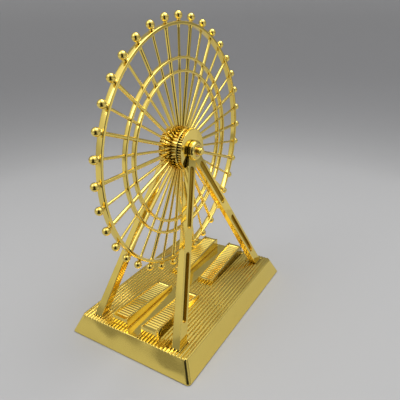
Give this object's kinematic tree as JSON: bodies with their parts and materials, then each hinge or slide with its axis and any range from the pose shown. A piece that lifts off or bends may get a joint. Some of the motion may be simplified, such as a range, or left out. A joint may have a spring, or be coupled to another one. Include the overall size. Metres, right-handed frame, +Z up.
{
  "type": "model ferris wheel",
  "caption": "Desk-top Ferris wheel model in gold metal: ribbed base with boarding ramps, leg pairs meeting at bearing heads, and a spoked wheel with ball finials that turns freely.",
  "frame": {"origin": "middle of the base, on the surface it stands on", "axes": "+Z up; X along the base in the plane of the wheel; Y along the axle, front at -Y"},
  "size_m": [0.1464, 0.0848, 0.1796],
  "materials": {
    "base_gold": "polished gold plating over cast zinc alloy",
    "ramp_gold": "polished gold plating over cast zinc alloy",
    "leg_gold": "polished gold plating over cast zinc alloy",
    "wheel_gold": "polished gold plating",
    "spoke_gold": "polished gold-plated wire",
    "hub_gold": "polished gold plating, fine turning marks on the faces",
    "bush_bronze": "plain sintered bronze",
    "screw_steel": "zinc-plated steel",
    "cover_plastic": "black moulded plate, fine grain",
    "foot_rubber": "black rubber"
  },
  "bodies": {
    "stand": {"base_plinth": "base_gold", "base_cover": "cover_plastic", "cover_screws": "screw_steel", "rubber_feet": "foot_rubber", "leg_screws": "screw_steel", "leg_front_left": "leg_gold", "ramp_front_left": "ramp_gold", "leg_front_right": "leg_gold", "ramp_front_right": "ramp_gold", "leg_rear_left": "leg_gold", "ramp_rear_left": "ramp_gold", "leg_rear_right": "leg_gold", "ramp_rear_right": "ramp_gold", "bearing_head_front": "hub_gold", "bush_front": "bush_bronze", "bearing_head_rear": "hub_gold", "bush_rear": "bush_bronze"},
    "wheel": {"rim": "wheel_gold", "outer_ring": "wheel_gold", "inner_ring": "wheel_gold", "hub_barrel": "hub_gold", "axle": "hub_gold", "thick_spokes": "spoke_gold", "thin_spokes": "spoke_gold", "ball_finials": "wheel_gold", "hub_flange_front": "hub_gold", "knurled_collar_front": "hub_gold", "hub_flange_rear": "hub_gold", "knurled_collar_rear": "hub_gold"}
  },
  "joints": [
    {"name": "wheel_spin", "type": "hinge", "parent": "stand", "child": "wheel", "pos_m": [0, 0, 0.1064], "axis": [0, 1, 0], "continuous": true}
  ]
}
